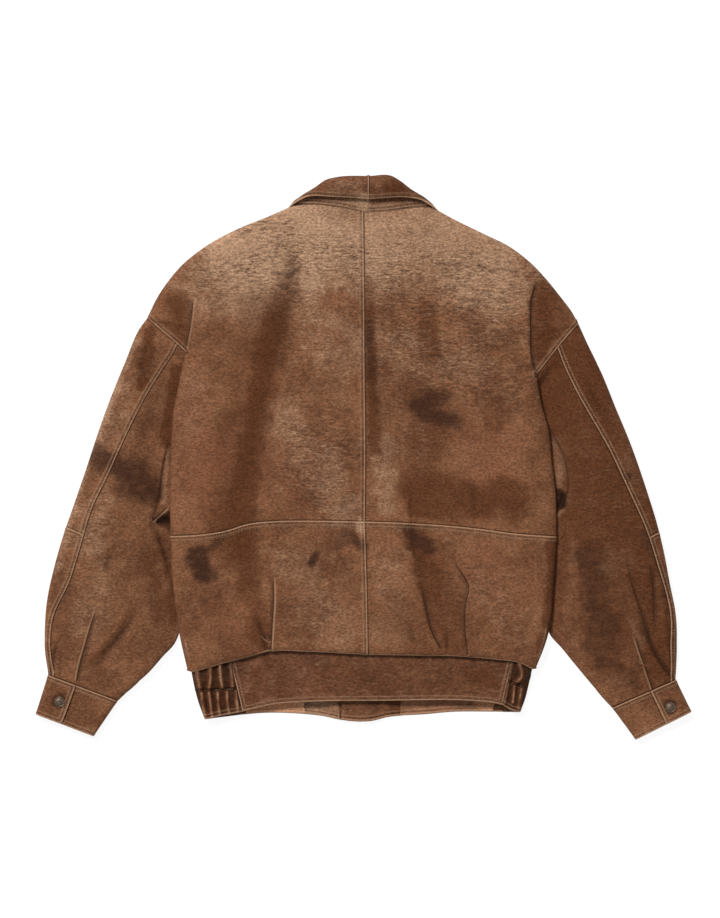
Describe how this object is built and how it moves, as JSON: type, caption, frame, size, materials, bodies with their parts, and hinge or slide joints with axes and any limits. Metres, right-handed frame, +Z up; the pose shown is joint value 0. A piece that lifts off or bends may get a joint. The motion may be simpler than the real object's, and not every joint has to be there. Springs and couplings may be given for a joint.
{
  "type": "worn leather jacket laid flat",
  "caption": "Worn brown leather blouson laid flat on its fastened front, back upwards, with a folded collar, full sleeves, snapped cuffs and a gathered hem band.",
  "frame": {"origin": "centre of the bounding box, on the surface that the jacket lies on", "axes": "+Z up out of the back, +Y towards the collar, +X towards the wearer's right sleeve"},
  "size_m": [0.919, 0.7902, 0.0384],
  "materials": {
    "leather": "worn matte nubuck, mottled and stained",
    "leather_dark": "worn matte nubuck, darker",
    "facing": "smooth tan",
    "snap": "dark antique brass"
  },
  "bodies": {
    "root": {"back_upper_left": "leather", "back_upper_right": "leather", "back_lower_left": "leather", "back_lower_right": "leather", "front_left": "leather", "front_right": "leather", "placket_left": "leather", "placket_right": "leather", "sleeve_under_left": "leather", "sleeve_under_right": "leather", "sleeve_top_left": "leather", "sleeve_top_right": "leather", "sleeve_low_left": "leather", "sleeve_low_right": "leather", "cuff_left": "leather", "cuff_right": "leather", "band_back": "leather_dark", "band_side_left": "leather_dark", "band_side_right": "leather_dark", "band_front_left": "leather_dark", "band_front_right": "leather_dark", "facing_left": "facing", "facing_right": "facing", "placket_facing_left": "leather_dark", "placket_facing_right": "leather_dark", "collar_leaf_left": "leather_dark", "collar_leaf_right": "leather_dark", "collar_stand_left": "leather_dark", "collar_stand_right": "leather_dark", "snap_cuff_left": "snap", "snap_cuff_right": "snap", "snap_front_1": "snap", "snap_front_2": "snap", "snap_front_3": "snap", "snap_front_4": "snap", "snap_front_5": "snap", "snap_front_6": "snap", "snap_front_7": "snap"}
  },
  "joints": []
}
